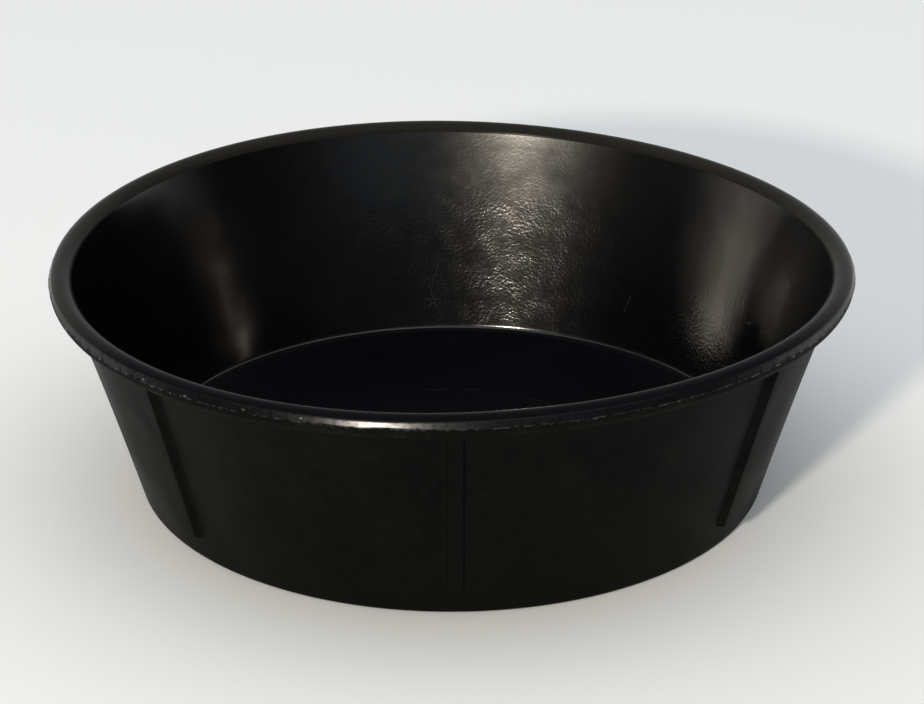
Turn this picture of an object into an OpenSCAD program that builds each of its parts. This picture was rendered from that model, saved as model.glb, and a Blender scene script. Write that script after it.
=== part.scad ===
// Round rubber feed tub: a flat floor and a flared side wall, finished with a rolled
// rim bead and stiffened by upright ribs outside. The real tub is one rubber moulding.
// Its zones are drawn as separate solids that meet face to face, each worked out from
// the same wall line. The origin is the centre of the ground face, +Z is up and the
// first rib faces -Y. Sizes are in millimetres, angles in degrees.

/* [Overall] */
// Outside diameter across the rim bead
rim_d = 410; // [380:5:460]
// Height from the ground to the top of the rim bead
tub_h = 121; // [90:1:160]
// Outside diameter of the wall at ground level, before the heel is rounded
base_d = 327; // [290:1:345]

/* [Wall] */
// Thickness of the side wall
wall_t = 4; // [3:0.5:5.5]

/* [Rim] */
// Diameter of the rolled bead along the rim
bead_d = 12; // [10:0.5:16]
// Height of wall, measured up its slope, that belongs to the rim below the bead's centre
neck_l = 10; // [9:1:20]

/* [Floor] */
// Thickness of the floor over the foot
floor_t = 6; // [4:0.5:10]
// Radius of the cove inside, between the floor and the wall
cove_r = 3.5; // [2:0.5:14]
// Radius of the heel outside, between the ground face and the wall
heel_r = 3; // [1:0.5:5]
// Width of the foot that stands on the ground, in from the heel's sharp corner
foot_w = 14; // [14:1:40]
// Depth of the shallow recess under the floor, inside the foot
recess_h = 1.5; // [0.5:0.5:3]

/* [Ribs] */
// Number of upright ribs, evenly spaced round the wall
rib_count = 7; // [4:1:12]
// Width of a rib along the wall
rib_w = 7.5; // [6:0.5:14]
// How far a rib stands out of the wall at its foot
rib_low = 3; // [2.5:0.5:6.5]
// How far a rib stands out of the wall under the bead
rib_high = 3.5; // [3:0.5:7.5]
// Rounding of a rib's two outer edges
rib_edge_r = 1; // [0.5:0.5:2.5]
// Height above the ground at which the ribs start
rib_start_h = 15; // [13:1:40]

/* [Hidden] */
$fn = 192;
rubber = "#17181a";
// Extra length that carries a cut or a root past the face it has to reach
overrun = 1;
// Straight steps in a drawn arc
arc_steps = 10;

rim_r = rim_d / 2;
base_r = base_d / 2;
bead_r = bead_d / 2;
foot_r = base_r - foot_w;

// Sections are drawn as [radius, height]. The wall's inner face runs tangent to the bead
// and its outer face starts at the base, which together set how far the wall leans out.
bead_c = [rim_r - bead_r, tub_h - bead_r];
lean = acos((bead_r - wall_t) / norm(bead_c - [base_r, 0]))
     - atan2(bead_c[1], bead_c[0] - base_r);
up_wall = [sin(lean), cos(lean)];
out_of_wall = [cos(lean), -sin(lean)];

// A point at a distance up the wall's outer face from the ground, and at a depth behind it
function wall_point(rise, depth) = [base_r, 0] + rise * up_wall - depth * out_of_wall;

// The rise at which a circle of that radius, at that depth behind the outer face,
// touches a level line at that height from above
function corner_rise(depth, radius, level) = (level + radius - (depth + radius) * sin(lean)) / cos(lean);

// Points along an arc, from one angle to another
function arc(centre, radius, from, to) =
    [for (i = [0 : arc_steps]) let (a = from + (to - from) * i / arc_steps)
        centre + radius * [cos(a), sin(a)]];

bead_rise = (bead_c - [base_r, 0]) * up_wall;
neck_rise = bead_rise - neck_l;
cove_rise = corner_rise(wall_t, cove_r, floor_t);
cove_c = wall_point(cove_rise, wall_t + cove_r);
heel_rise = corner_rise(0, heel_r, 0);
heel_c = wall_point(heel_rise, heel_r);

// A rib's crest runs from its foot up to the level of the bead's centre
rib_rise = rib_start_h / cos(lean);
crest_low = wall_point(rib_rise, -rib_low);
crest_high = wall_point(bead_rise, -rib_high);
crest_run = crest_high - crest_low;
crest_lean = atan2(crest_run[0], crest_run[1]);
root_depth = rib_high + overrun;
first_rib_angle = -90;

rib_names = [for (i = [1 : rib_count]) str("rib_", i)];

// The floor inside the foot, lifted off the ground by the recess
module floor_disc() {
    color(rubber)
        translate([0, 0, recess_h])
            cylinder(r = foot_r, h = floor_t - recess_h);
}

// The foot, the rounded heel outside and the cove inside, up to where the plain wall starts
module heel_ring() {
    outline = concat(
        [[foot_r, 0]],
        arc(heel_c, heel_r, -90, -lean),
        [wall_point(cove_rise, 0)],
        arc(cove_c, cove_r, -lean, -90),
        [[foot_r, floor_t]]);
    color(rubber)
        rotate_extrude()
            polygon(outline);
}

// The plain flared wall between the heel and the neck of the rim
module side_wall() {
    color(rubber)
        rotate_extrude()
            polygon([
                wall_point(cove_rise, 0), wall_point(neck_rise, 0),
                wall_point(neck_rise, wall_t), wall_point(cove_rise, wall_t)]);
}

// The section of the bead's roll
module bead_section() {
    translate(bead_c)
        circle(r = bead_r);
}

// The rolled rim, with the short neck of wall that carries it
module rim_bead() {
    color(rubber)
        rotate_extrude()
            union() {
                bead_section();
                polygon([
                    wall_point(neck_rise, 0), wall_point(bead_rise, 0),
                    wall_point(bead_rise, wall_t), wall_point(neck_rise, wall_t)]);
            }
}

// All the space behind the wall's outer face, which a rib's root is trimmed to
module behind_wall() {
    cylinder(h = tub_h, r1 = base_r, r2 = base_r + tub_h * tan(lean));
}

// A rib's section, across the wall, with rounded outer edges
module rib_section() {
    half = rib_w / 2;
    edge = half - rib_edge_r;
    polygon(concat(
        [[-root_depth, -half]],
        arc([-rib_edge_r, -edge], rib_edge_r, -90, 0),
        arc([-rib_edge_r, edge], rib_edge_r, 0, 90),
        [[-root_depth, half]]));
}

// A rib seen from its side, with a rounded run-out into the wall at its foot
module rib_side() {
    polygon(concat(
        [[-root_depth, 0]],
        arc([-rib_low, rib_low], rib_low, -90, 0),
        [[0, norm(crest_run)], [-root_depth, norm(crest_run)]]));
}

// One upright rib, trimmed to the wall behind it and to the bead above it
module rib(i) {
    color(rubber)
        rotate([0, 0, first_rib_angle + (i - 1) * 360 / rib_count])
            difference() {
                translate([crest_low[0], 0, crest_low[1]])
                    rotate([0, crest_lean, 0])
                        intersection() {
                            linear_extrude(height = norm(crest_run))
                                rib_section();
                            rotate([90, 0, 0])
                                linear_extrude(height = rib_w + overrun, center = true)
                                    rib_side();
                        }
                behind_wall();
                rotate_extrude()
                    bead_section();
            }
}

floor_disc();
heel_ring();
side_wall();
rim_bead();
for (i = [1 : rib_count])
    rib(i);
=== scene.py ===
# %% [markdown]
# # A black rubber feed tub
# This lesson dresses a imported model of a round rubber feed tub. The real tub is one
# moulding: a floor, a flared wall, a rolled bead along the rim and upright ribs outside.
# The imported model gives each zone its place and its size, and the frame is loaded first
# so that everything made here can be set against it. Nothing in the frame is moved.

# %% Load the frame
import math

import bmesh
import bpy
from mathutils import Matrix, Vector, noise


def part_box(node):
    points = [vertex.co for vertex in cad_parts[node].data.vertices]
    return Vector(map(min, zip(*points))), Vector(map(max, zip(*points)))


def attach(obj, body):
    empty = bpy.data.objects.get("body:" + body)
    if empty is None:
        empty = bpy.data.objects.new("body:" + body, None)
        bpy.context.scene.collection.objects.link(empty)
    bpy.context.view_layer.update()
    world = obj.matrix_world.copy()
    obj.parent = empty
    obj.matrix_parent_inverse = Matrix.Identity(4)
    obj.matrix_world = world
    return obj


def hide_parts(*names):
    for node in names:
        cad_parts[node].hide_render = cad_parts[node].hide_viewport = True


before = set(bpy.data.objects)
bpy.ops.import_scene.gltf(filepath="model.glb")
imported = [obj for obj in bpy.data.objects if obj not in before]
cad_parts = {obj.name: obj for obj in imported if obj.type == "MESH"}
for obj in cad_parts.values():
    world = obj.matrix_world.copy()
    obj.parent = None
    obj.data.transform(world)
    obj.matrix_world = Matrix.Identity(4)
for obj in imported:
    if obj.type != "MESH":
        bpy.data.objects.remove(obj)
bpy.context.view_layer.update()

print("frame nodes:", sorted(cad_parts))

# %% [markdown]
# ## The camera
# The tub was seen from a little above its rim, through a long lens, which keeps its ellipses
# calm. A camera could be placed by hand and eye. Here it is placed by what a photographer
# would note down: how far away, how high up, and the point it looks at. It stands a touch
# to the left, which brings the front rib a little right of the middle.

# %% Camera
CAMERA_DISTANCE = 2.0
CAMERA_RISE = math.radians(24.706)
CAMERA_SWING = math.radians(-1.436)
AIM_ACROSS = 0.00547
AIM_HEIGHT = 0.0662
LENS_MM = 148.91
SENSOR_MM = 36

across = Vector((math.cos(CAMERA_SWING), math.sin(CAMERA_SWING), 0))
aim = across * AIM_ACROSS + Vector((0, 0, AIM_HEIGHT))


def face_tub(name, data, swing, rise, distance):
    """Put a camera or a lamp in the scene, facing the tub from a swing and a rise."""
    direction = Vector((
        math.sin(swing) * math.cos(rise), -math.cos(swing) * math.cos(rise), math.sin(rise)))
    holder = bpy.data.objects.new(name, data)
    holder.location = aim + direction * distance
    holder.rotation_euler = direction.to_track_quat("Z", "Y").to_euler()
    bpy.context.scene.collection.objects.link(holder)
    return holder


camera = face_tub(
    "camera", bpy.data.cameras.new("camera"), CAMERA_SWING, CAMERA_RISE, CAMERA_DISTANCE)
camera.data.lens = LENS_MM
camera.data.sensor_width = SENSOR_MM
bpy.context.scene.camera = camera
print("camera at", [round(value, 3) for value in camera.location])

# %% [markdown]
# ## Node helpers
# Every material and the world are node trees, and small helpers keep their code short. Two do the
# work: one feeds a socket, either with a link or with a plain value, and one adds a node and feeds
# it. Each of the others adds one kind of node and hands back what it puts out, so that the code of
# a tree reads like a sum. A range is a pair, from where a change starts to where it ends.

# %% Node helpers
def feed(tree, socket, value):
    """Link a socket to an output, or set its plain value."""
    if isinstance(value, bpy.types.NodeSocket):
        tree.links.new(value, socket)
    else:
        socket.default_value = value


def add(tree, kind, inputs=None, **settings):
    """Add a node, set its options and feed its inputs by name or number."""
    made = tree.nodes.new(kind)
    for name, value in settings.items():
        setattr(made, name, value)
    for name, value in (inputs or {}).items():
        feed(tree, made.inputs[name], value)
    return made


def maths(tree, operation, *values, clamp=False):
    """A Math node on sockets or numbers; returns its output."""
    made = add(
        tree, "ShaderNodeMath", dict(enumerate(values)), operation=operation, use_clamp=clamp)
    return made.outputs[0]


def times(tree, made, *factors):
    """A value multiplied by each factor in turn; returns the output."""
    for factor in factors:
        made = maths(tree, "MULTIPLY", made, factor)
    return made


def vector_maths(tree, operation, *values):
    """A Vector Math node on sockets or vectors; returns its output, a number or a vector."""
    made = add(tree, "ShaderNodeVectorMath", dict(enumerate(values)), operation=operation)
    return made.outputs["Value" if operation in ("DOT_PRODUCT", "LENGTH") else "Vector"]


def axes(tree, vector):
    """The X, Y and Z outputs of a vector."""
    return add(tree, "ShaderNodeSeparateXYZ", {0: vector}).outputs


def clouds(tree, place, scale, detail, roughness=0.5):
    """A Noise Texture; returns its value, which wanders about one half."""
    made = add(tree, "ShaderNodeTexNoise", {
        "Vector": place, "Scale": scale, "Detail": detail, "Roughness": roughness})
    return made.outputs[0]


def ramp(tree, value, low, high, to_low=0.0, to_high=1.0):
    """Map a value smoothly from one range to another; returns the output."""
    made = add(tree, "ShaderNodeMapRange", {
        "Value": value, "From Min": low, "From Max": high, "To Min": to_low, "To Max": to_high,
    }, interpolation_type="SMOOTHSTEP")
    return made.outputs[0]


def blend_colours(tree, amount, first, second):
    """Mix two colours; returns the output."""
    made = add(tree, "ShaderNodeMix", {0: amount, 6: first, 7: second}, data_type="RGBA")
    return made.outputs[2]


# %% [markdown]
# ## The studio
# Black rubber shows little but what it reflects, so what stands round the tub decides how it
# reads. A plain pale floor carries it. The world is a soft room: a light ceiling, a pale end
# behind the tub and a dim end behind the camera. The rim's two ends mirror the pale end, and the
# inner wall mirrors the dim one and stays black.

# %% Floor
FLOOR_HALF = 9.0


def to_object(bm, name):
    """Make an object of a bmesh and put it in the scene."""
    mesh = bpy.data.meshes.new(name)
    bm.to_mesh(mesh)
    bm.free()
    made = bpy.data.objects.new(name, mesh)
    bpy.context.scene.collection.objects.link(made)
    return made


def pale_floor_material():
    """Matt and nearly white, so that it keeps the tub's shadow and mirrors nothing."""
    material = bpy.data.materials.new("pale floor")
    material.use_nodes = True
    shader = material.node_tree.nodes["Principled BSDF"]
    shader.inputs["Base Color"].default_value = (0.92, 0.92, 0.915, 1)
    shader.inputs["Roughness"].default_value = 0.9
    shader.inputs["Specular IOR Level"].default_value = 0.0
    return material


bm = bmesh.new()
bmesh.ops.create_grid(bm, x_segments=1, y_segments=1, size=FLOOR_HALF)
floor = to_object(bm, "studio_floor")
floor.data.materials.append(pale_floor_material())
print("floor:", 2 * FLOOR_HALF, "m wide")

# %% World
CEILING = 1.00
PALE_END = 0.75
DIM_END = 0.03
CEILING_TINT = (0.92, 0.97, 1.0, 1)
ENDS_TINT = (0.95, 0.98, 1.0, 1)
CEILING_RANGE = (math.sin(math.radians(24)), math.sin(math.radians(60)))
ENDS_RANGE = (-0.3, 0.5)

world = bpy.data.worlds.new("studio")
world.use_nodes = True
bpy.context.scene.world = world
tree = world.node_tree
tree.nodes.clear()
direction = axes(tree, add(tree, "ShaderNodeTexCoord").outputs["Generated"])
overhead = ramp(tree, direction["Z"], *CEILING_RANGE)
ends = ramp(tree, direction["Y"], *ENDS_RANGE, DIM_END, PALE_END)
strength = maths(tree, "MULTIPLY_ADD", overhead, maths(tree, "SUBTRACT", CEILING, ends), ends)
tint = blend_colours(tree, overhead, ENDS_TINT, CEILING_TINT)
background = add(tree, "ShaderNodeBackground", {"Color": tint, "Strength": strength})
add(tree, "ShaderNodeOutputWorld", {"Surface": background.outputs[0]})
bpy.context.scene.view_settings.view_transform = "Standard"
print("world: ceiling", CEILING, "pale end", PALE_END, "dim end", DIM_END)

# %% [markdown]
# ## The lamps
# A low, warm key stands behind the camera on the left. It is small, so that the inner wall
# mirrors it as one upright streak, and just high enough for the front rim's shadow to end at the
# foot of the back wall: the wall is lit down to the cove and the floor inside stays dark. A wide,
# dim panel on the right gives the back wall its bluish sheen.

# %% Lamps
def panel(name, swing, rise, distance, size, power, colour):
    """An area lamp that faces the tub, with its swing and its rise in degrees."""
    lamp = bpy.data.lights.new(name, "AREA")
    lamp.shape = "RECTANGLE"
    lamp.size, lamp.size_y = size
    lamp.energy = power
    lamp.color = colour
    holder = face_tub(name, lamp, math.radians(swing), math.radians(rise), distance)
    print(f"lamp {name}: {power} W from {[round(value, 2) for value in holder.location]}")


panel(
    "key", swing=-23.5, rise=20.6, distance=5.0, size=(0.40, 0.26), power=185,
    colour=(1.0, 0.92, 0.79))
panel(
    "cool_panel", swing=16.0, rise=9.0, distance=3.0, size=(1.9, 0.9), power=1.25,
    colour=(0.62, 0.80, 1.0))

# %% [markdown]
# ## The wall line
# All of the tub hangs on one slanted line: the outer face of its wall. It starts at the base
# and leans out so far that the inner face runs into the bead without a kink. The rim's radius
# and height are read from the frame, and the small sizes are those of the moulding. Any point
# of the section is then named by its rise up that line and its depth behind it.

# %% Sizes
MM = 0.001
RIM_R = round(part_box("rim_bead")[1][0], 4)
TUB_H = round(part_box("rim_bead")[1][2], 4)
BASE_R = 163.5 * MM
WALL_T = 4 * MM
BEAD_R = 6 * MM
NECK_L = 10 * MM
FLOOR_T = 6 * MM
COVE_R = 5 * MM
HEEL_R = 3 * MM
FOOT_W = 14 * MM
RECESS_H = 1.5 * MM

bead_centre = Vector((RIM_R - BEAD_R, 0, TUB_H - BEAD_R))
bead_run = bead_centre - Vector((BASE_R, 0, 0))
LEAN = math.acos((BEAD_R - WALL_T) / bead_run.length) - math.atan2(bead_run.z, bead_run.x)
up_wall = Vector((math.sin(LEAN), 0, math.cos(LEAN)))
out_of_wall = Vector((math.cos(LEAN), 0, -math.sin(LEAN)))


def wall_point(rise, depth=0.0):
    """A point of the section, at a rise up the wall's outer face and a depth behind it."""
    return Vector((BASE_R, 0, 0)) + up_wall * rise - out_of_wall * depth


def corner_rise(depth, radius, level):
    """The rise of a circle that touches the face at that depth and a level from above."""
    return (level + radius - (depth + radius) * math.sin(LEAN)) / math.cos(LEAN)


def on_bead(angle, reach=BEAD_R):
    """A point of the section at an angle round the bead, counted up from straight outwards."""
    return bead_centre + Vector((math.cos(angle), 0, math.sin(angle))) * reach


def to_section(point):
    """A point of the tub, turned about the upright axis into the plane of the section."""
    return Vector((math.hypot(point.x, point.y), 0, point.z))


bead_rise = bead_run.dot(up_wall)
neck_rise = bead_rise - NECK_L
cove_rise = corner_rise(WALL_T, COVE_R, FLOOR_T)
heel_rise = corner_rise(0.0, HEEL_R, 0.0)
foot_r = BASE_R - FOOT_W
print(f"the wall leans {math.degrees(LEAN):.2f} degrees, rim radius {RIM_R} m, height {TUB_H} m")

# %% [markdown]
# ## Drawing a section and turning it
# A moulded tub is a turned shape, so each zone is drawn as a closed line in the plane of its
# section and spun about the upright axis. A pen draws the line: extruding its vertex makes a
# straight stretch, and spinning it about a centre makes an arc. The full spin merges its ends,
# doubles are merged where a line touches the axis, and normals are recalculated afterwards.

# %% Pen and lathe
TURN_STEPS = 360
SHARP_ANGLE = math.radians(38)
MERGE_DISTANCE = 0.001 * MM


def pen_line(bm, pen, end, steps=1):
    """Draw a straight line from the pen to a point; returns the pen's new vertex."""
    start = pen.co.copy()
    for step in range(1, steps + 1):
        pen = bmesh.ops.extrude_vert_indiv(bm, verts=[pen])["verts"][0]
        pen.co = start.lerp(end, step / steps)
    return pen


def pen_arc(bm, pen, centre, turn, steps):
    """Draw an arc about a centre in the section's plane; returns the pen's new vertex."""
    spun = bmesh.ops.spin(
        bm, geom=[pen], cent=centre, axis=(0, 1, 0), dvec=(0, 0, 0), angle=turn, steps=steps,
        use_merge=False, use_duplicate=False)
    return [item for item in spun["geom_last"] if isinstance(item, bmesh.types.BMVert)][0]


def lathe(bm, steps):
    """Spin the drawn line once round the upright axis and close it up."""
    bmesh.ops.spin(
        bm, geom=bm.verts[:] + bm.edges[:], cent=(0, 0, 0), axis=(0, 0, 1), dvec=(0, 0, 0),
        angle=math.tau, steps=steps, use_merge=True, use_duplicate=False)
    bmesh.ops.remove_doubles(bm, verts=bm.verts, dist=MERGE_DISTANCE)
    bmesh.ops.recalc_face_normals(bm, faces=bm.faces)


# %% [markdown]
# ## How soft rubber settles
# A rubber tub is never quite true: it leaves a hot mould, cools and is stacked. This one's rim
# stands a little higher in front, sits in a gentle saddle and is a little out of round, and its
# wall is bowed in, by over half a millimetre at the two sides and less in front. One function
# moves every vertex of every piece the same way, growing from nothing at the foot to a few
# millimetres at the rim, so that neighbours still meet.

# %% Settling
TILT, TILT_TURN = 3.0 * MM, math.radians(-59)
SADDLE, SADDLE_TURN = 2.2 * MM, math.radians(-57)
OVAL, OVAL_TURN = 3.4 * MM, math.radians(-11)
BOW, BOW_MEAN, BOW_SWING = 0.6 * MM, 0.65, 0.35


def settle(point):
    """The place of a point of the true shape on the settled tub."""
    share = max(0.0, point.z / TUB_H)
    angle = math.atan2(point.y, point.x)
    lift = TILT * share * math.cos(angle - TILT_TURN)
    lift += SADDLE * share ** 2 * math.cos(2 * (angle - SADDLE_TURN))
    bow = BOW * (BOW_MEAN + BOW_SWING * math.cos(2 * angle)) * 4 * share * (1 - share)
    grow = OVAL * share * math.cos(2 * (angle - OVAL_TURN)) - bow
    stretch = 1 + grow / RIM_R
    return Vector((point.x * stretch, point.y * stretch, point.z + lift))


# %% [markdown]
# ## From bmesh to a piece
# Each piece rides on the tub's one body, replaces the frame's node of its zone and gets the rubber
# materials it is given. Faces are smooth, and edges sharper than a moulding's softest corner are
# marked sharp, so that hidden joints between the zones don't bend the shading.

# %% Finish a piece
def finish_piece(bm, name, node, materials, pick=None):
    """Settle a bmesh, make it a piece and set it in the frame."""
    for face in bm.faces:
        face.smooth = True
        face.material_index = pick(face.calc_center_median()) if pick else 0
    for vert in bm.verts:
        vert.co = settle(vert.co)
    piece = to_object(bm, name)
    piece.data.set_sharp_from_angle(angle=SHARP_ANGLE)
    for material in materials:
        piece.data.materials.append(material)
    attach(piece, "root")
    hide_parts(node)
    print(f"{name}: {len(piece.data.polygons)} faces")


# %% [markdown]
# ## Moulded grain
# The mould was never polished. It left a fine skin of bumps a millimetre or two across, with a few
# shallow dimples between them. Where the wall nearly mirrors a lamp, each bump that leans the right
# way lights up as a fleck, and the dimples stay dark. A noise makes the bumps and a cell pattern
# places the dimples, both squeezed a little in height. The group puts out the two heights and
# leaves their depths to the material. The skin is counted from its middle, so that fading it
# leaves no step.

# %% Group: moulded grain
GRAIN_SQUEEZE = (1.0, 1.0, 1.2)
SPOTS_PER_CELL = 1.1
SPOT_EDGE = (0.06, 0.34)
SPOT_CHANCE = (0.50, 0.95)


def new_group(name, inputs, outputs):
    """A shader node group with named sockets; returns it with its two end nodes."""
    group = bpy.data.node_groups.new(name, "ShaderNodeTree")
    for socket, kind in inputs.items():
        group.interface.new_socket(socket, in_out="INPUT", socket_type="NodeSocket" + kind)
    for socket, kind in outputs.items():
        group.interface.new_socket(socket, in_out="OUTPUT", socket_type="NodeSocket" + kind)
    return group, group.nodes.new("NodeGroupInput"), group.nodes.new("NodeGroupOutput")


def use_group(tree, group, **inputs):
    """Place a group in a tree and feed its inputs; returns its outputs."""
    return add(tree, "ShaderNodeGroup", inputs, node_tree=group).outputs


grain_group, start, end = new_group(
    "moulded grain", {"Place": "Vector", "Cells": "Float"}, {"Skin": "Float", "Dimple": "Float"})
tree = grain_group
cells = start.outputs["Cells"]
drawn = vector_maths(tree, "MULTIPLY", start.outputs["Place"], GRAIN_SQUEEZE)
skin = clouds(tree, drawn, scale=cells, detail=1.7)
spots = add(tree, "ShaderNodeTexVoronoi", {
    "Vector": drawn, "Scale": times(tree, cells, SPOTS_PER_CELL)}).outputs
chance = add(tree, "ShaderNodeSeparateColor", {0: spots["Color"]}).outputs[0]
round_spot = ramp(tree, spots["Distance"], *SPOT_EDGE, 1.0, 0.0)
feed(tree, end.inputs["Skin"], maths(tree, "SUBTRACT", skin, 0.5))
feed(tree, end.inputs["Dimple"], times(tree, round_spot, ramp(tree, chance, *SPOT_CHANCE)))
print("group:", grain_group.name)

# %% [markdown]
# ## Dust and handling
# Use leaves two things on black rubber: pale dust in soft patches, and broad areas that hands
# and muzzles have rubbed a little smoother. Dust is noise at two scales, patches of it broken up
# into specks, and the rubbed areas are one broad noise. The group puts out one mask for each.

# %% Group: dust and handling
PATCH_EDGE = (0.42, 0.75)
SPECK_EDGE = (0.40, 0.72)
RUB_EDGE = (0.35, 0.65)
RUBS_PER_PATCH = 0.55

dust_group, start, end = new_group(
    "dust and handling", {"Place": "Vector", "Patches": "Float"},
    {"Dust": "Float", "Rubbed": "Float"})
tree = dust_group
place, patches = start.outputs["Place"], start.outputs["Patches"]
cloud = clouds(tree, place, scale=patches, detail=4.0, roughness=0.6)
specks = clouds(tree, place, scale=900.0, detail=2.0, roughness=0.7)
rub = clouds(tree, place, scale=times(tree, patches, RUBS_PER_PATCH), detail=2.0)
feed(tree, end.inputs["Dust"], times(
    tree, ramp(tree, cloud, *PATCH_EDGE), ramp(tree, specks, *SPECK_EDGE)))
feed(tree, end.inputs["Rubbed"], ramp(tree, rub, *RUB_EDGE))
print("group:", dust_group.name)

# %% [markdown]
# ## Scratches
# A hoof or a scoop leaves a short pale line where it dug in. It could be painted on an image, but
# a line between two points needs no image: the group measures how far a place is from the line
# and puts out a mask that fades at its edges and breaks up along its length.

# %% Group: scratch
FULL_SHARE = 0.2
FADED_SHARE = 0.6
BREAK_EDGE = (0.25, 0.55)

scratch_group, start, end = new_group(
    "scratch", {"Place": "Vector", "From": "Vector", "To": "Vector", "Width": "Float"},
    {"Mask": "Float"})
tree = scratch_group
place, width = start.outputs["Place"], start.outputs["Width"]
run = vector_maths(tree, "SUBTRACT", start.outputs["To"], start.outputs["From"])
offset = vector_maths(tree, "SUBTRACT", place, start.outputs["From"])
share = maths(
    tree, "DIVIDE", vector_maths(tree, "DOT_PRODUCT", offset, run),
    vector_maths(tree, "DOT_PRODUCT", run, run), clamp=True)
along = add(tree, "ShaderNodeVectorMath", {0: run, "Scale": share}, operation="SCALE").outputs[0]
gap = vector_maths(tree, "LENGTH", vector_maths(tree, "SUBTRACT", offset, along))
line = ramp(
    tree, gap, times(tree, width, FULL_SHARE), times(tree, width, FADED_SHARE), 1.0, 0.0)
breaks = clouds(tree, place, scale=700.0, detail=1.0)
feed(tree, end.inputs["Mask"], times(tree, line, ramp(tree, breaks, *BREAK_EDGE)))
print("group:", scratch_group.name)


def add_scratches(tree, place, lines, width):
    """Masks of several scratches, joined into one."""
    joined = 0.0
    for first, last in lines:
        mask = use_group(tree, scratch_group, Place=place, From=first, To=last, Width=width)["Mask"]
        joined = maths(tree, "MAXIMUM", mask, joined)
    return joined


# %% [markdown]
# ## The rubber outside
# Outside, the tub is a dull greenish black with a fine skin, a shade paler low down. It mirrors
# almost nothing squarely, so the front stays dark and only the two sides, seen at a glance, turn
# grey. A slow waviness in the wall keeps those grey edges from being ruled straight. In this
# material and the next ones, the heights of the relief are in millimetres and ranges along an axis
# are in metres.

# %% Material: outside rubber
OUTSIDE_BLACKS = ((0.0014, 0.0018, 0.0015, 1), (0.0034, 0.0038, 0.0032, 1))
OUTSIDE_DUST, OUTSIDE_DUSTY = (0.050, 0.050, 0.043, 1), 0.06
OUTSIDE_ROUGH, OUTSIDE_RUBBED = 0.52, 0.43
OUTSIDE_SKIN = 0.03
OUTSIDE_WAVES = 0.6
PALER_LOW = (0.0, 0.07)


def rubber(name, level):
    """A material with its shader, its Object coordinates and a plain specular level."""
    material = bpy.data.materials.new(name)
    material.use_nodes = True
    tree = material.node_tree
    shader = tree.nodes["Principled BSDF"]
    shader.inputs["Specular IOR Level"].default_value = level
    place = add(tree, "ShaderNodeTexCoord").outputs["Object"]
    return material, tree, shader, place


def used_colour(tree, worn, blacks, dusty, dust_colour):
    """Black rubber with its worn and its dusty places; returns the output."""
    return blend_colours(tree, dusty, blend_colours(tree, worn, *blacks), dust_colour)


def set_bump(tree, shader, height_mm):
    """Feed the shader's normal from a height in millimetres."""
    bump = add(tree, "ShaderNodeBump", {"Height": height_mm, "Distance": MM, "Strength": 1.0})
    feed(tree, shader.inputs["Normal"], bump.outputs[0])


outside_rubber, tree, shader, place = rubber("outside rubber", level=0.038)
grain = use_group(tree, grain_group, Place=place, Cells=400.0)
dust = use_group(tree, dust_group, Place=place, Patches=26.0)
waves = clouds(tree, place, scale=22.0, detail=1.0)
mottle = clouds(tree, place, scale=120.0, detail=3.0, roughness=0.6)
mottled = maths(tree, "MULTIPLY_ADD", dust["Rubbed"], 0.4, ramp(tree, mottle, 0.3, 0.7, 0.0, 0.6))
# Paler towards the ground, fading out 7 cm up.
mottled = maths(tree, "ADD", mottled, ramp(tree, axes(tree, place)["Z"], *PALER_LOW, 0.6, 0.0))
feed(tree, shader.inputs["Base Color"], used_colour(
    tree, mottled, OUTSIDE_BLACKS, times(tree, dust["Dust"], OUTSIDE_DUSTY), OUTSIDE_DUST))
feed(tree, shader.inputs["Roughness"], ramp(
    tree, dust["Rubbed"], 0.0, 1.0, OUTSIDE_ROUGH, OUTSIDE_RUBBED))
relief = times(tree, grain["Skin"], OUTSIDE_SKIN)
set_bump(tree, shader, maths(tree, "MULTIPLY_ADD", waves, OUTSIDE_WAVES, relief))
print("material:", outside_rubber.name)

# %% [markdown]
# ## The rubber inside
# Inside, the wall is much glossier, with the grain at its strongest, and its blacks are darker and
# bluer than outside: painted shade and a painted cool reflection. It grows duller towards the rim.
# The grain fades there, and again in the cove. The two sides are smoother than the back, the left
# one most of all, which keeps it black. Just under the roll the back flares a little. Each of these
# is a ramp along one axis, and a slow noise makes both gloss and grain patchy. Low on the back wall
# something once struck it: a small star of scuffs, with a few short scratches about it. The
# strokes of the star are set out round its middle on the wall, so the code only names where it is.

# %% Material: inside rubber
STAR_ANGLE, STAR_RISE = 92.4, 22.5
STAR_STROKES = ((20, 3.6), (75, 2.4), (160, 4.4), (235, 4.6), (300, 5.6))
STAR_GAP = 1.0
MM_PER_DEGREE = 2.9
WALL_MARKS = (
    ((92.9, 30.5), (92.5, 25)), ((92.2, 35), (91.2, 43.5)), ((73.6, 72), (72.4, 67)),
    ((68.2, 32), (68.8, 28)), ((52.6, 38), (53.4, 29)))
WALL_SCRATCH_W = 0.75 * MM
SCUFFED = (0.017, 0.017, 0.017, 1)

# The inside blacks are painted shade, darker than the outside rubber, and their blue is a painted
# cool reflection.
INSIDE_PAINTED_SHADE_BLACKS = ((0.0008, 0.0009, 0.0014, 1), (0.0012, 0.0013, 0.0018, 1))
INSIDE_DUST, INSIDE_DUSTY = (0.040, 0.040, 0.034, 1), 0.04
INSIDE_TINT = (1.0, 0.975, 0.94, 1)
SMEAR_SHAPE = (1.0, 1.0, 0.35)
LOW_ROUGH, HIGH_ROUGH = 0.175, 0.26
RUBBED_ROUGH, PATCHY_ROUGH = 0.03, 0.14
INSIDE_SKIN, INSIDE_DIMPLE = 0.125, -0.006
INSIDE_WAVES = 0.5
FLARE_H = -0.10

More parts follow.
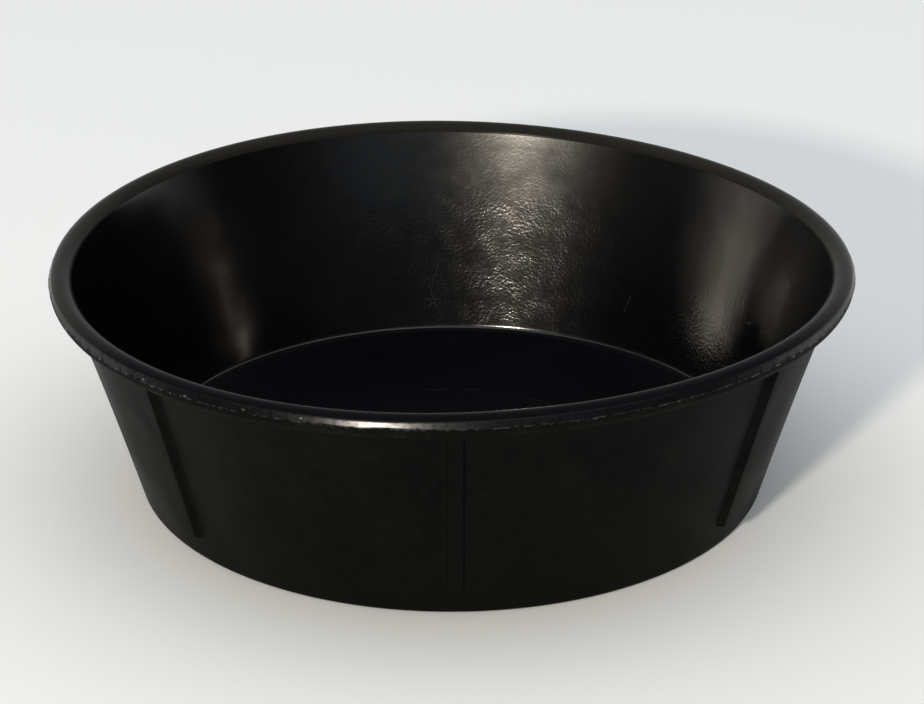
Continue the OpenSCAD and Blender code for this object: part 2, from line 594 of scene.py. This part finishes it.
ROUGH_RISE = (0.02, TUB_H)
GRAIN_COVE, GRAIN_TOP = (0.008, 0.012), (0.070, 0.090)
GLOSS_LEFT, GLOSS_BACK = (-0.125, -0.075), (0.065, 0.095)
GRAIN_LEFT, GRAIN_RIGHT = (-0.11, -0.06), (0.08, 0.15)
PATCHY_OUT, PATCHY_RANGE = (0.06, 0.11), (-0.16, 0.16)
FLARE_TOP, FLARE_LEFT, FLARE_RIGHT = (0.108, 0.1165), (-0.07, -0.02), (0.07, 0.12)


def on_inner_wall(angle, rise):
    """A place on the settled inner face, by its angle in degrees and its rise in millimetres."""
    return settle(Matrix.Rotation(math.radians(angle), 3, "Z") @ wall_point(rise * MM, WALL_T))


wall_scratches = [tuple(on_inner_wall(*spot) for spot in mark) for mark in WALL_MARKS]
for stroke, length in STAR_STROKES:
    around_wall = -math.cos(math.radians(stroke)) / MM_PER_DEGREE
    up = math.sin(math.radians(stroke))
    wall_scratches.append(tuple(
        on_inner_wall(STAR_ANGLE + around_wall * reach, STAR_RISE + up * reach)
        for reach in (STAR_GAP, length)))

inside_rubber, tree, shader, place = rubber("inside rubber", level=0.80)
shader.inputs["Specular Tint"].default_value = INSIDE_TINT
where = axes(tree, place)
grain = use_group(tree, grain_group, Place=place, Cells=600.0)
smears = vector_maths(tree, "MULTIPLY", place, SMEAR_SHAPE)
dust = use_group(tree, dust_group, Place=smears, Patches=24.0)
waves = clouds(tree, place, scale=30.0, detail=1.0)
patchy = maths(tree, "SUBTRACT", clouds(tree, place, scale=110.0, detail=3.0, roughness=0.6), 0.5)
patchy = times(tree, patchy, ramp(
    tree, maths(tree, "ABSOLUTE", where["X"]), *PATCHY_OUT, 1.0, 0.0))
scratched = add_scratches(tree, place, wall_scratches, WALL_SCRATCH_W)
colour = used_colour(
    tree, dust["Rubbed"], INSIDE_PAINTED_SHADE_BLACKS, times(tree, dust["Dust"], INSIDE_DUSTY), INSIDE_DUST)
feed(tree, shader.inputs["Base Color"], blend_colours(tree, scratched, colour, SCUFFED))
rough = ramp(tree, where["Z"], *ROUGH_RISE, LOW_ROUGH, HIGH_ROUGH)
rough = times(
    tree, maths(tree, "MULTIPLY_ADD", dust["Rubbed"], RUBBED_ROUGH, rough),
    ramp(tree, where["X"], *GLOSS_LEFT, 0.60, 1.0),
    ramp(tree, where["Y"], *GLOSS_BACK, 0.72, 1.0))
feed(tree, shader.inputs["Roughness"], maths(tree, "MULTIPLY_ADD", patchy, PATCHY_ROUGH, rough))
grainy = times(
    tree, maths(
        tree, "MULTIPLY_ADD", grain["Dimple"], INSIDE_DIMPLE,
        times(tree, grain["Skin"], INSIDE_SKIN)),
    ramp(tree, where["X"], *GRAIN_LEFT, 0.20, 1.0),
    ramp(tree, where["X"], *GRAIN_RIGHT, 1.0, 0.75),
    ramp(tree, patchy, *PATCHY_RANGE, 0.45, 1.35))
fine = times(
    tree, ramp(tree, where["Z"], *GRAIN_TOP, 1.0, 0.3),
    ramp(tree, where["Z"], *GRAIN_COVE, 0.25, 1.0))
flare = times(
    tree, ramp(tree, where["Z"], *FLARE_TOP, 0.0, FLARE_H),
    ramp(tree, where["X"], *FLARE_LEFT),
    ramp(tree, where["X"], *FLARE_RIGHT, 1.0, 0.0))
relief = maths(tree, "MULTIPLY_ADD", grainy, fine, flare)
set_bump(tree, shader, maths(tree, "MULTIPLY_ADD", waves, INSIDE_WAVES, relief))
print("material:", inside_rubber.name, "with", len(wall_scratches), "scratches")

# %% [markdown]
# ## The rubber of the floor
# The floor inside is the same rubber, pressed against a flatter tool: a shallower grain and less
# gloss. Its blacks are darker and bluer still: painted shade and a painted cool reflection.
# Three short scratches lie on one circle, where a scoop was turned round in it.

# %% Material: inner floor rubber
SCOOP_R = 82.5 * MM
SCOOP_MARKS = ((99, 90), (85, 79), (58, 49))
SCOOP_W = 1.1 * MM
SCOOPED = (0.014, 0.014, 0.016, 1)
# The floor blacks are painted shade, darker than the outside rubber, and their blue is a painted
# cool reflection.
FLOOR_PAINTED_SHADE_BLACKS = ((0.0005, 0.0006, 0.0016, 1), (0.0009, 0.0010, 0.0023, 1))
FLOOR_DUST, FLOOR_DUSTY = (0.040, 0.040, 0.038, 1), 0.03
FLOOR_ROUGH, FLOOR_RUBBED = 0.42, 0.34
FLOOR_SKIN = 0.04


def on_scoop_circle(angle):
    """A place on the floor that the scoop reached, by its angle in degrees."""
    return Matrix.Rotation(math.radians(angle), 3, "Z") @ Vector((SCOOP_R, 0, FLOOR_T))


floor_scratches = [tuple(on_scoop_circle(angle) for angle in mark) for mark in SCOOP_MARKS]
inner_floor_rubber, tree, shader, place = rubber("inner floor rubber", level=0.045)
grain = use_group(tree, grain_group, Place=place, Cells=300.0)
dust = use_group(tree, dust_group, Place=place, Patches=16.0)
scratched = add_scratches(tree, place, floor_scratches, SCOOP_W)
colour = used_colour(
    tree, dust["Rubbed"], FLOOR_PAINTED_SHADE_BLACKS, times(tree, dust["Dust"], FLOOR_DUSTY), FLOOR_DUST)
feed(tree, shader.inputs["Base Color"], blend_colours(tree, scratched, colour, SCOOPED))
feed(tree, shader.inputs["Roughness"], ramp(
    tree, dust["Rubbed"], 0.0, 1.0, FLOOR_ROUGH, FLOOR_RUBBED))
set_bump(tree, shader, times(tree, grain["Skin"], FLOOR_SKIN))
print("material:", inner_floor_rubber.name, "with", len(floor_scratches), "scratches")

# %% [markdown]
# ## The rubber of the rim
# The bead was made where the two halves of the mould met. Just above their joint a narrow band is
# nearly flat, and at the front hands have rubbed it to a shine, which a coat on that band gives.
# Above it the roll is plain, dark at the front and lightened round the sides and the back by a
# painted sheen with some dust; below the joint the trimmed edge is rough and brownish, and a few
# pale crumbs cling to it. The joint is found from an attribute that holds the angle round the bead,
# so that it follows the rim as it settles.

# %% Material: rim rubber
JOINT_ANGLE = math.radians(6)
JOINT_BLUR = 0.06
BAND_TOP = math.radians(37)
BAND_EDGE = (BAND_TOP - 0.05, BAND_TOP + 0.15)
RAGGED = 0.80
HANDLED = (-0.13, -0.05)
CRUMBS = ((-48.5, 18), (-40.4, 12), (-30.7, 20), (-22.0, 24))
CRUMB_HALF = 0.1
CRUMB_W = 1.2 * MM

TRIMMED, TRIMMED_DUSTY = (0.0018, 0.0018, 0.0012, 1), (0.014, 0.013, 0.009, 1)
# The roll's grey round the sides and the back is painted sheen with some dust; the handled front
# keeps the dark rubber.
ROLL_DUST_AND_SHEEN, ROLL_HANDLED = (0.016, 0.0145, 0.012, 1), (0.0014, 0.0015, 0.0024, 1)
CRUMB_COLOUR = (0.10, 0.095, 0.08, 1)
TRIMMED_ROUGH, ROLL_ROUGH, COAT_ROUGH = 0.60, 0.24, 0.26
TRIMMED_SKIN, ROLL_SKIN = 0.20, 0.03
SHINE, SHINE_HANDLED = 0.15, 0.75
SHINE_BREAKS = (0.38, 0.56)


def on_rim(turn, angle):
    """A place on the settled bead: a turn from the front and an angle round it, in degrees."""
    return settle(Matrix.Rotation(math.radians(turn - 90), 3, "Z") @ on_bead(math.radians(angle)))


crumb_lines = [
    (on_rim(turn - CRUMB_HALF, angle), on_rim(turn + CRUMB_HALF, angle)) for turn, angle in CRUMBS]
rim_rubber, tree, shader, place = rubber("rim rubber", level=0.045)
around = add(tree, "ShaderNodeAttribute", attribute_name="bead_angle").outputs["Fac"]
ragged = clouds(tree, place, scale=330.0, detail=4.0, roughness=0.6)
shifted = maths(tree, "MULTIPLY_ADD", ragged, RAGGED, maths(tree, "SUBTRACT", around, RAGGED / 2))
above = ramp(tree, shifted, JOINT_ANGLE - JOINT_BLUR, JOINT_ANGLE + JOINT_BLUR)
band = times(tree, above, ramp(tree, around, *BAND_EDGE, 1.0, 0.0))
handled = ramp(tree, axes(tree, place)["Y"], *HANDLED, 1.0, 0.0)
crumb = add_scratches(tree, place, crumb_lines, CRUMB_W)
grain = use_group(tree, grain_group, Place=place, Cells=420.0)
dust = use_group(tree, dust_group, Place=place, Patches=30.0)
low_colour = blend_colours(tree, dust["Dust"], TRIMMED, TRIMMED_DUSTY)
# Painted sheen with some dust lightens the roll away from the handled front.
top_colour = blend_colours(tree, handled, ROLL_DUST_AND_SHEEN, ROLL_HANDLED)
colour = blend_colours(tree, above, low_colour, top_colour)
feed(tree, shader.inputs["Base Color"], blend_colours(tree, crumb, colour, CRUMB_COLOUR))
feed(tree, shader.inputs["Roughness"], ramp(tree, above, 0.0, 1.0, TRIMMED_ROUGH, ROLL_ROUGH))
shine = maths(tree, "MULTIPLY_ADD", handled, SHINE_HANDLED, SHINE)
shine = times(tree, shine, ramp(tree, ragged, *SHINE_BREAKS, 0.6, 1.0))
feed(tree, shader.inputs["Coat Weight"], times(tree, band, shine))
shader.inputs["Coat Roughness"].default_value = COAT_ROUGH
set_bump(tree, shader, times(
    tree, grain["Skin"], ramp(tree, above, 0.0, 1.0, TRIMMED_SKIN, ROLL_SKIN)))
print("material:", rim_rubber.name)

# %% [markdown]
# ## The floor
# The floor is a thick disc, lifted a little off the ground inside the foot. Its upper edge is
# eased by a fraction of a millimetre, which leaves the fine ring that the mould's insert leaves
# on a real tub.

# %% Piece: floor
EASE = 0.1 * MM


def floor_faces(centre):
    """Floor rubber on top, outside rubber under and round the disc."""
    return 1 if centre.z > FLOOR_T - EASE else 0


bm = bmesh.new()
pen = bm.verts.new((0, 0, RECESS_H))
pen = pen_line(bm, pen, Vector((foot_r, 0, RECESS_H)), steps=8)
pen = pen_line(bm, pen, Vector((foot_r, 0, FLOOR_T - EASE)))
pen = pen_arc(bm, pen, Vector((foot_r - EASE, 0, FLOOR_T - EASE)), -math.pi / 2, steps=4)
pen_line(bm, pen, Vector((0, 0, FLOOR_T)), steps=24)
lathe(bm, TURN_STEPS)
finish_piece(bm, "tub_floor", "floor_disc", [outside_rubber, inner_floor_rubber], floor_faces)

# %% [markdown]
# ## The heel
# The heel ring is what the tub stands on. Outside, a small radius turns up into the wall, and
# inside, a tight cove turns from floor to wall and draws a thin line of light round the floor.
# The ring is cut off a little above the cove, where its neighbour is straight as well.

# %% Piece: heel
SEAM_LIFT = 3 * MM
COVE_TURN = math.radians(40)

heel_top = cove_rise + SEAM_LIFT
cove_centre = wall_point(cove_rise, WALL_T + COVE_R)
heel_centre = wall_point(heel_rise, HEEL_R)
corner_turn = math.pi / 2 - LEAN


def wall_faces(centre):
    """Inside rubber behind the middle of the wall, outside rubber in front of it."""
    in_front = (to_section(centre) - wall_point(0.0, WALL_T / 2)).dot(out_of_wall) > 0
    return 0 if in_front else 1


def heel_faces(centre):
    """Floor rubber up to the middle of the cove, inside rubber above it, outside elsewhere."""
    if centre.z < FLOOR_T - EASE:
        return 0
    in_cove = to_section(centre).x < cove_centre.x + COVE_R
    if in_cove and centre.z < cove_centre.z - COVE_R * math.sin(COVE_TURN):
        return 2
    return wall_faces(centre)


bm = bmesh.new()
first = bm.verts.new((foot_r, 0, EASE))
pen = pen_arc(bm, first, Vector((foot_r + EASE, 0, EASE)), -math.pi / 2, steps=4)
pen = pen_line(bm, pen, Vector((heel_centre.x, 0, 0)), steps=4)
pen = pen_arc(bm, pen, heel_centre, -corner_turn, steps=10)
pen = pen_line(bm, pen, wall_point(heel_top), steps=6)
pen = pen_line(bm, pen, wall_point(heel_top, WALL_T), steps=2)
pen = pen_line(bm, pen, wall_point(cove_rise, WALL_T), steps=2)
pen = pen_arc(bm, pen, cove_centre, corner_turn, steps=24)
pen = pen_line(bm, pen, Vector((foot_r + EASE, 0, FLOOR_T)), steps=4)
pen = pen_arc(bm, pen, Vector((foot_r + EASE, 0, FLOOR_T - EASE)), -math.pi / 2, steps=4)
bm.edges.new((pen, first))
lathe(bm, TURN_STEPS)
finish_piece(
    bm, "heel", "heel_ring", [outside_rubber, inside_rubber, inner_floor_rubber], heel_faces)

# %% [markdown]
# ## The wall
# The wall is a plain cone of even thickness. It is drawn with many steps up its height, because
# the settling bends it and a long flat face would not follow.

# %% Piece: wall
WALL_STEPS = 24

bm = bmesh.new()
first = bm.verts.new(wall_point(heel_top))
pen = pen_line(bm, first, wall_point(neck_rise), WALL_STEPS)
pen = pen_line(bm, pen, wall_point(neck_rise, WALL_T), steps=2)
pen = pen_line(bm, pen, wall_point(heel_top, WALL_T), WALL_STEPS)
pen = pen_line(bm, pen, wall_point(heel_top, WALL_T / 2))
bm.edges.new((pen, first))
lathe(bm, TURN_STEPS)
finish_piece(bm, "wall", "side_wall", [outside_rubber, inside_rubber], wall_faces)

# %% [markdown]
# ## The rim bead
# The bead rolls from the wall's inner face over the top and under, and a small fillet leads it
# back to the outer face. Where the mould's halves met, a thin trimmed edge stands out. It is
# drawn as a low ridge in the section, and after the spin its crest is worn down here and there
# by noise, which gives the rim its nicked outline.

# %% Piece: rim
RIM_STEPS = 720
RIDGE_H = 0.4 * MM
RIDGE_HALF = math.radians(3)
FILLET_R = 2.5 * MM
BROAD_NICKS, FINE_NICKS = 140, 520
WORN_MEAN, WORN_BROAD, WORN_FINE = 0.5, 0.5, 0.35

bead_depth = WALL_T - BEAD_R
fillet_drop = math.sqrt((BEAD_R + FILLET_R) ** 2 - (FILLET_R + bead_depth) ** 2)
fillet_centre = wall_point(bead_rise - fillet_drop, -FILLET_R)
to_fillet = fillet_centre - bead_centre
under_angle = math.atan2(to_fillet.z, to_fillet.x)
inner_angle = math.pi - LEAN
ridge_top = JOINT_ANGLE + RIDGE_HALF
ridge_foot = JOINT_ANGLE - RIDGE_HALF


def rim_faces(centre):
    """Rim rubber on the roll, and the wall's two finishes on the neck below it."""
    offset = to_section(centre) - bead_centre
    if under_angle < math.atan2(offset.z, offset.x) < inner_angle:
        return 2
    return wall_faces(centre)


bm = bmesh.new()
first = bm.verts.new(wall_point(neck_rise, WALL_T))
pen = pen_line(bm, first, on_bead(inner_angle), steps=4)
pen = pen_arc(bm, pen, bead_centre, inner_angle - BAND_TOP, steps=32)
pen = pen_line(bm, pen, on_bead(ridge_top), steps=4)
pen = pen_line(bm, pen, on_bead(JOINT_ANGLE, BEAD_R + RIDGE_H), steps=2)
pen = pen_line(bm, pen, on_bead(ridge_foot), steps=2)
pen = pen_arc(bm, pen, bead_centre, ridge_foot - under_angle, steps=16)
pen = pen_arc(bm, pen, fillet_centre, under_angle + LEAN, steps=8)
pen = pen_line(bm, pen, wall_point(neck_rise), steps=2)
pen = pen_line(bm, pen, wall_point(neck_rise, WALL_T / 2))
bm.edges.new((pen, first))
lathe(bm, RIM_STEPS)
layer = bm.verts.layers.float.new("bead_angle")
for vert in bm.verts:
    offset = to_section(vert.co) - bead_centre
    vert[layer] = math.atan2(offset.z, offset.x)
    proud = offset.length - BEAD_R
    if abs(vert[layer] - JOINT_ANGLE) < RIDGE_HALF and proud > 0:
        wear = WORN_MEAN + WORN_BROAD * noise.noise(vert.co * BROAD_NICKS)
        wear += WORN_FINE * noise.noise(vert.co * FINE_NICKS)
        out = Matrix.Rotation(math.atan2(vert.co.y, vert.co.x), 3, "Z") @ offset.normalized()
        vert.co -= out * proud * min(1.0, max(0.0, wear))
finish_piece(bm, "rim", "rim_bead", [outside_rubber, inside_rubber, rim_rubber], rim_faces)

# %% [markdown]
# ## The ribs
# The ribs stiffen the wall. Each is a low, straight bar of nearly even height, with sides that
# slope so that it leaves the mould, a soft root and a squared lower end. Half of its section is
# drawn flat and spun half a turn, the round end which that makes is pushed out towards a square,
# its open edge is extruded upwards, and the top, which the bead hides, is closed. Then the flat bar
# is wrapped on to the cone. The real ribs aren't spaced quite evenly, so each has a small wander of
# its own.

# %% Pieces: ribs
RIB_COUNT = sum(name.startswith("rib_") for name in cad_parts)
RIB_W = 7.5 * MM
RIB_LOW = 3 * MM
RIB_HIGH = 3.5 * MM
RIB_EDGE_R = 1.2 * MM
RIB_ROOT_R = 1.6 * MM
RIB_SLOPE = math.radians(58)
RIB_START_H = 15 * MM
RIB_SINK = 1 * MM
RIB_STEPS = 24
RIB_END_STEPS = 20
RIB_WANDER = (-0.7, 1.9, 0.5, -0.4, 0.3, -0.5, 0.2)

rib_rise = RIB_START_H / math.cos(LEAN) + RIB_W / 2
rib_length = bead_rise - rib_rise


def flat_rib():
    """A rib laid flat: across is x, up the wall is y and out of the wall is z."""
    bm = bmesh.new()
    crest = RIB_W / 2 - RIB_EDGE_R
    slant = 1 - math.cos(RIB_SLOPE)
    side_run = (RIB_LOW - (RIB_EDGE_R + RIB_ROOT_R) * slant) / math.tan(RIB_SLOPE)
    root_start = crest + RIB_EDGE_R * math.sin(RIB_SLOPE) + side_run
    root_end = root_start + RIB_ROOT_R * math.sin(RIB_SLOPE)
    pen = bm.verts.new((0, 0, RIB_LOW))
    pen = pen_line(bm, pen, Vector((crest, 0, RIB_LOW)), steps=2)
    pen = pen_arc(bm, pen, Vector((crest, 0, RIB_LOW - RIB_EDGE_R)), RIB_SLOPE, steps=6)
    pen = pen_line(bm, pen, Vector((root_start, 0, RIB_ROOT_R * slant)), steps=2)
    pen = pen_arc(bm, pen, Vector((root_end, 0, RIB_ROOT_R)), -RIB_SLOPE, steps=6)
    pen = pen_line(bm, pen, Vector((root_end, 0, -RIB_SINK)))
    pen_line(bm, pen, Vector((0, 0, -RIB_SINK)), steps=4)
    bmesh.ops.spin(
        bm, geom=bm.verts[:] + bm.edges[:], cent=(0, 0, 0), axis=(0, 0, 1), dvec=(0, 0, 0),
        angle=-math.pi, steps=RIB_END_STEPS, use_merge=False, use_duplicate=False)
    bmesh.ops.remove_doubles(bm, verts=bm.verts, dist=MERGE_DISTANCE)
    for vert in bm.verts:
        across, down = vert.co.x, -vert.co.y
        if down > MERGE_DISTANCE:
            reach = math.hypot(across, down)
            vert.co.x = math.copysign(math.sqrt(abs(across) * reach), across)
            vert.co.y = -math.sqrt(down * reach)
    open_end = [
        edge for edge in bm.edges if all(abs(vert.co.y) < MERGE_DISTANCE for vert in edge.verts)]
    grown = bmesh.ops.extrude_edge_only(bm, edges=open_end)["geom"]
    top = [item for item in grown if isinstance(item, bmesh.types.BMVert)]
    bmesh.ops.translate(bm, vec=(0, rib_length, 0), verts=top)
    upright = [
        edge for edge in bm.edges
        if abs(edge.verts[0].co.y - edge.verts[1].co.y) > rib_length / 2]
    bmesh.ops.subdivide_edges(bm, edges=upright, cuts=RIB_STEPS - 1, use_grid_fill=True)
    open_top = [edge for edge in bm.edges if edge.is_boundary]
    cap = bmesh.ops.holes_fill(bm, edges=open_top, sides=0)["faces"]
    bmesh.ops.triangulate(bm, faces=cap)
    bmesh.ops.recalc_face_normals(bm, faces=bm.faces)
    return bm


def wrap_on_wall(point, turn):
    """Carry a point of the flat rib to the cone, at a turn round the tub."""
    share = min(1.0, max(0.0, point.y / rib_length))
    height = point.z
    if height > 0:
        height *= (RIB_LOW + (RIB_HIGH - RIB_LOW) * share) / RIB_LOW
    section = wall_point(rib_rise + point.y, -height)
    angle = turn + math.asin(point.x / section.x)
    return Vector((section.x * math.cos(angle), section.x * math.sin(angle), section.z))


pattern = flat_rib()
for index in range(RIB_COUNT):
    turn = -math.pi / 2 + index * math.tau / RIB_COUNT + math.radians(RIB_WANDER[index])
    bm = pattern.copy()
    for vert in bm.verts:
        vert.co = wrap_on_wall(vert.co, turn)
    finish_piece(bm, f"rib_bar_{index + 1}", f"rib_{index + 1}", [outside_rubber])
pattern.free()
